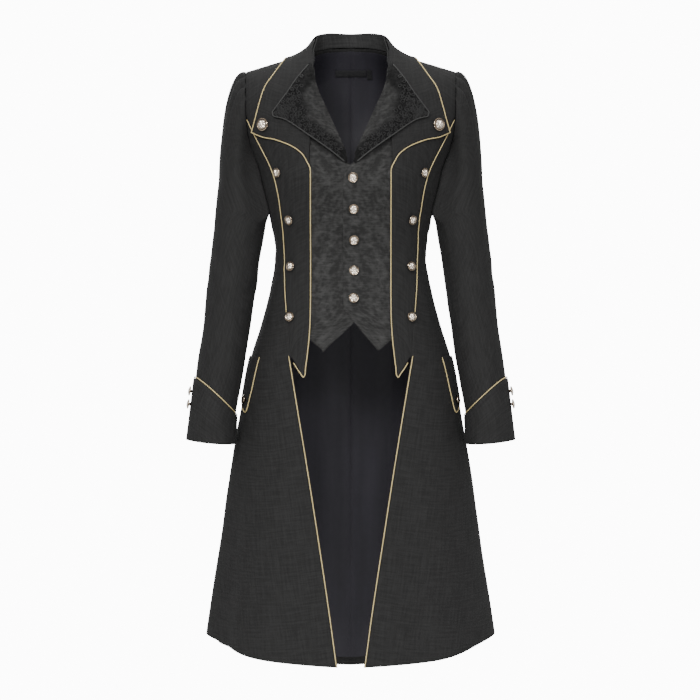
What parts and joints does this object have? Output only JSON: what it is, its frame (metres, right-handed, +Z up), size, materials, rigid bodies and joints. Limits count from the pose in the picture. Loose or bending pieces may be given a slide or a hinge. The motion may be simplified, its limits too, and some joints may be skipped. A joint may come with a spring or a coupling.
{
  "type": "prince style coat",
  "caption": "Long fitted coat with a sewn-in pointed vest front, a winged collar, piped seams, wide cuffs and a flared skirt, filled out as it is worn with nobody in it.",
  "frame": {"origin": "midway between the two shoulder neck points, where the wearer's shoulders hold the coat", "axes": "+Z up, the front faces -Y, +X is the wearer's left"},
  "size_m": [0.5586, 0.4136, 1.1173],
  "materials": {
    "twill": "charcoal suiting, matt",
    "jacquard": "mottled grey jacquard with a low sheen",
    "lining": "dark satin",
    "label": "black woven tape, bare",
    "piping": "pale gold covered cord",
    "metal": "polished champagne gold, raised rim and rosette"
  },
  "bodies": {
    "root": {"back_left": "twill", "back_right": "twill", "centre_front_left": "twill", "centre_front_right": "twill", "side_front_left": "twill", "side_front_right": "twill", "side_back_left": "twill", "side_back_right": "twill", "lining_left": "lining", "lining_right": "lining", "wing_collar_left": "twill", "wing_collar_right": "twill", "vest_front_left": "jacquard", "vest_front_right": "jacquard", "vest_lapel_left": "jacquard", "vest_lapel_right": "jacquard", "sleeve_left": "twill", "sleeve_right": "twill", "cuff_left": "twill", "cuff_right": "twill", "cuff_piping_left": "piping", "cuff_piping_right": "piping", "pocket_flap_left": "twill", "pocket_flap_right": "twill", "flap_piping_left": "piping", "flap_piping_right": "piping", "flap_button_left": "metal", "flap_button_right": "metal", "wing_piping_left": "piping", "wing_piping_right": "piping", "princess_piping_left": "piping", "princess_piping_right": "piping", "skirt_piping_left": "piping", "skirt_piping_right": "piping", "lapel_button_left": "metal", "lapel_button_right": "metal", "cuff_button_left_1": "metal", "cuff_button_left_2": "metal", "princess_button_left_1": "metal", "princess_button_left_2": "metal", "princess_button_left_3": "metal", "princess_button_left_4": "metal", "cuff_button_right_1": "metal", "cuff_button_right_2": "metal", "princess_button_right_1": "metal", "princess_button_right_2": "metal", "princess_button_right_3": "metal", "princess_button_right_4": "metal", "vest_button_1": "metal", "vest_button_2": "metal", "vest_button_3": "metal", "vest_button_4": "metal", "vest_button_5": "metal", "collar_stand": "twill", "neck_label": "label", "size_tab": "label"}
  },
  "joints": []
}
